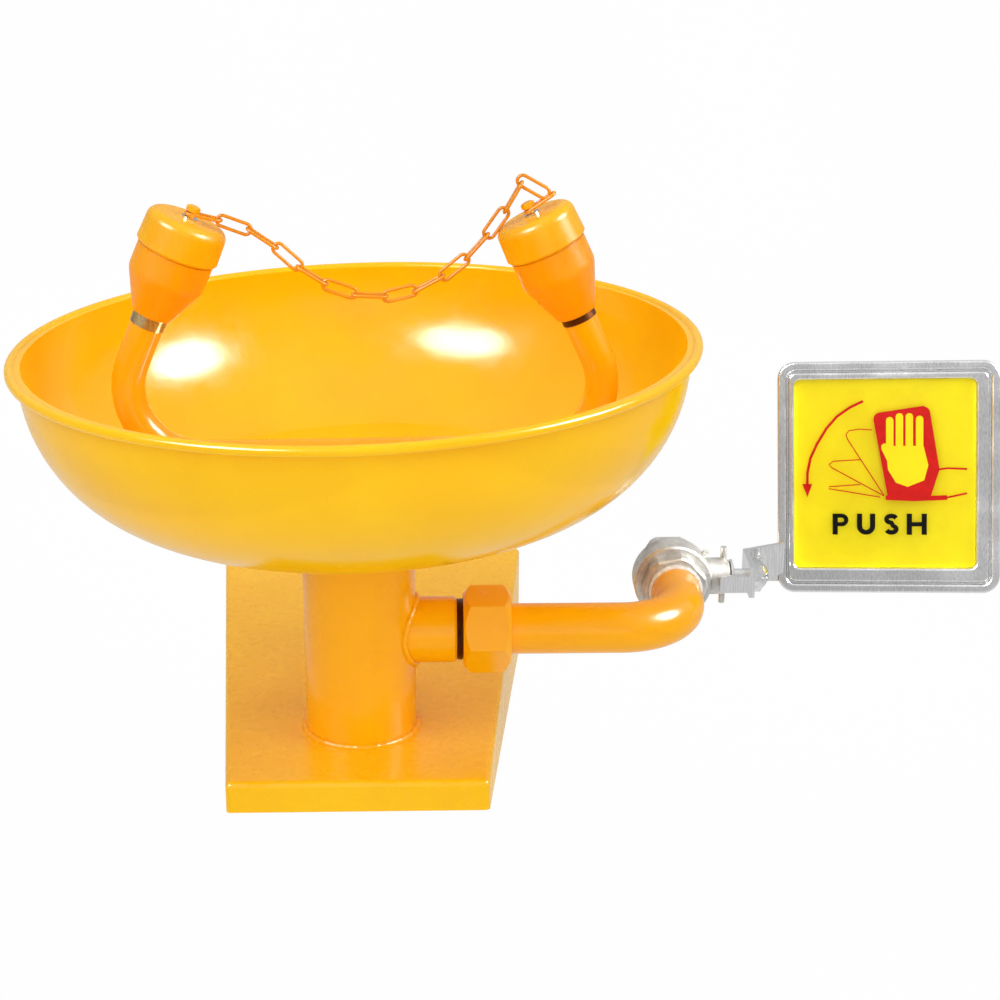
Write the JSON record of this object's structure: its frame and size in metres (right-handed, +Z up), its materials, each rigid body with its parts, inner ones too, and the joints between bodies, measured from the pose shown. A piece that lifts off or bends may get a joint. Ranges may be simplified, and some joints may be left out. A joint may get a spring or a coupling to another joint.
{
  "type": "eyewash station",
  "caption": "Wall-mounted eyewash: round bowl with capped, chained spray heads over a waste stem and bracket, fed by a bent pipe through a ball valve that a push plate turns.",
  "frame": {"origin": "centre of the four wall holes, on the bracket's wall face", "axes": "+Y into the wall, +Z up, +X along the inlet pipe (to the right for someone facing the wall)"},
  "size_m": [0.4368, 0.3566, 0.306],
  "materials": {
    "bracket_paint": "gloss powder coat",
    "stem_paint": "gloss powder coat",
    "bowl_paint": "gloss powder coat",
    "pipe_paint": "gloss powder coat",
    "head_plastic": "gloss",
    "chain_plastic": "gloss",
    "cast_stainless": "satin cast",
    "sheet_stainless": "polished",
    "bright_metal": "mirror",
    "brass": "satin",
    "sign_lemon": "satin",
    "ptfe": "matte",
    "disc_plastic": "matte",
    "gasket_rubber": "matte"
  },
  "bodies": {
    "station": {"wall_bracket": "bracket_paint", "waste_stem": "stem_paint", "drain_socket": "stem_paint", "bowl": "bowl_paint", "lower_gasket": "gasket_rubber", "upper_gasket": "gasket_rubber", "waste_fitting": "sheet_stainless", "strainer": "sheet_stainless", "feed_elbow": "brass", "feed_tube": "brass", "spray_manifold": "pipe_paint", "riser_nipple_left": "brass", "riser_nipple_right": "brass", "spray_head_left": "head_plastic", "spray_head_right": "head_plastic", "flow_disc_left": "disc_plastic", "flow_disc_right": "disc_plastic", "inlet_socket": "stem_paint", "union_tail": "brass", "union_gasket": "gasket_rubber", "union_nut": "pipe_paint", "inlet_pipe": "pipe_paint", "thread_tape": "ptfe", "valve_body": "cast_stainless", "valve_end": "cast_stainless", "front_seat": "ptfe", "rear_seat": "ptfe", "shaft_packing": "ptfe", "gland_nut": "cast_stainless"},
    "push_lever": {"valve_ball": "bright_metal", "valve_shaft": "sheet_stainless", "lever_arm": "sheet_stainless", "spring_washer": "sheet_stainless", "lever_nut": "bright_metal", "push_plate": "sheet_stainless", "sign_panel": "sign_lemon"},
    "left_cap": {"dust_cap_left": "head_plastic", "cap_screw_left": "bright_metal", "cap_washer_left": "bright_metal", "chain_link_01": "chain_plastic"},
    "right_cap": {"dust_cap_right": "head_plastic", "cap_screw_right": "bright_metal", "cap_washer_right": "bright_metal", "chain_link_15": "chain_plastic"},
    "chain_link_02": {"chain_link_02": "chain_plastic"},
    "chain_link_03": {"chain_link_03": "chain_plastic"},
    "chain_link_04": {"chain_link_04": "chain_plastic"},
    "chain_link_05": {"chain_link_05": "chain_plastic"},
    "chain_link_06": {"chain_link_06": "chain_plastic"},
    "chain_link_07": {"chain_link_07": "chain_plastic"},
    "chain_link_08": {"chain_link_08": "chain_plastic"},
    "chain_link_09": {"chain_link_09": "chain_plastic"},
    "chain_link_10": {"chain_link_10": "chain_plastic"},
    "chain_link_11": {"chain_link_11": "chain_plastic"},
    "chain_link_12": {"chain_link_12": "chain_plastic"},
    "chain_link_13": {"chain_link_13": "chain_plastic"},
    "chain_link_14": {"chain_link_14": "chain_plastic"}
  },
  "joints": [
    {"name": "push_plate_swing", "type": "hinge", "parent": "station", "child": "push_lever", "pos_m": [0.1425, -0.154, 0.077], "axis": [-1, 0, 0], "range_deg": [-16, 74]},
    {"name": "cap_left_lift", "type": "slide", "parent": "station", "child": "left_cap", "axis": [0.4003, 0, 0.9164], "range_m": [0, 0.012]},
    {"name": "cap_right_lift", "type": "slide", "parent": "station", "child": "right_cap", "axis": [-0.4195, 0, 0.9078], "range_m": [0, 0.012]},
    {"name": "link_02_follow", "type": "slide", "parent": "station", "child": "chain_link_02", "axis": [0.3221, 0, 0.9467], "range_m": [0, 0.012]},
    {"name": "link_03_follow", "type": "slide", "parent": "station", "child": "chain_link_03", "axis": [0.2439, 0, 0.9698], "range_m": [0, 0.01223]},
    {"name": "link_04_follow", "type": "slide", "parent": "station", "child": "chain_link_04", "axis": [0.1734, 0, 0.9848], "range_m": [0, 0.01273]},
    {"name": "link_05_follow", "type": "slide", "parent": "station", "child": "chain_link_05", "axis": [0.107, 0, 0.9943], "range_m": [0, 0.01326]},
    {"name": "link_06_follow", "type": "slide", "parent": "station", "child": "chain_link_06", "axis": [0.0384, 0, 0.9993], "range_m": [0, 0.01367]},
    {"name": "link_07_follow", "type": "slide", "parent": "station", "child": "chain_link_07", "axis": [-0.0323, 0, 0.9995], "range_m": [0, 0.01391]},
    {"name": "link_08_follow", "type": "slide", "parent": "station", "child": "chain_link_08", "axis": [-0.103, 0, 0.9947], "range_m": [0, 0.01394]},
    {"name": "link_09_follow", "type": "slide", "parent": "station", "child": "chain_link_09", "axis": [-0.1716, 0, 0.9852], "range_m": [0, 0.01377]},
    {"name": "link_10_follow", "type": "slide", "parent": "station", "child": "chain_link_10", "axis": [-0.2369, 0, 0.9715], "range_m": [0, 0.01344]},
    {"name": "link_11_follow", "type": "slide", "parent": "station", "child": "chain_link_11", "axis": [-0.2993, 0, 0.9542], "range_m": [0, 0.01302]},
    {"name": "link_12_follow", "type": "slide", "parent": "station", "child": "chain_link_12", "axis": [-0.3598, 0, 0.933], "range_m": [0, 0.01253]},
    {"name": "link_13_follow", "type": "slide", "parent": "station", "child": "chain_link_13", "axis": [-0.4195, 0, 0.9078], "range_m": [0, 0.01202]},
    {"name": "link_14_follow", "type": "slide", "parent": "station", "child": "chain_link_14", "axis": [-0.4195, 0, 0.9078], "range_m": [0, 0.01202]}
  ],
  "couplings": [
    {"joint": "cap_right_lift", "follows": "cap_left_lift", "ratio": 1},
    {"joint": "link_02_follow", "follows": "cap_left_lift", "ratio": 0.99799},
    {"joint": "link_03_follow", "follows": "cap_left_lift", "ratio": 1.0178},
    {"joint": "link_04_follow", "follows": "cap_left_lift", "ratio": 1.0588},
    {"joint": "link_05_follow", "follows": "cap_left_lift", "ratio": 1.1035},
    {"joint": "link_06_follow", "follows": "cap_left_lift", "ratio": 1.1379},
    {"joint": "link_07_follow", "follows": "cap_left_lift", "ratio": 1.1575},
    {"joint": "link_08_follow", "follows": "cap_left_lift", "ratio": 1.1598},
    {"joint": "link_09_follow", "follows": "cap_left_lift", "ratio": 1.1455},
    {"joint": "link_10_follow", "follows": "cap_left_lift", "ratio": 1.1186},
    {"joint": "link_11_follow", "follows": "cap_left_lift", "ratio": 1.0833},
    {"joint": "link_12_follow", "follows": "cap_left_lift", "ratio": 1.0429},
    {"joint": "link_13_follow", "follows": "cap_left_lift", "ratio": 1},
    {"joint": "link_14_follow", "follows": "cap_left_lift", "ratio": 1}
  ]
}
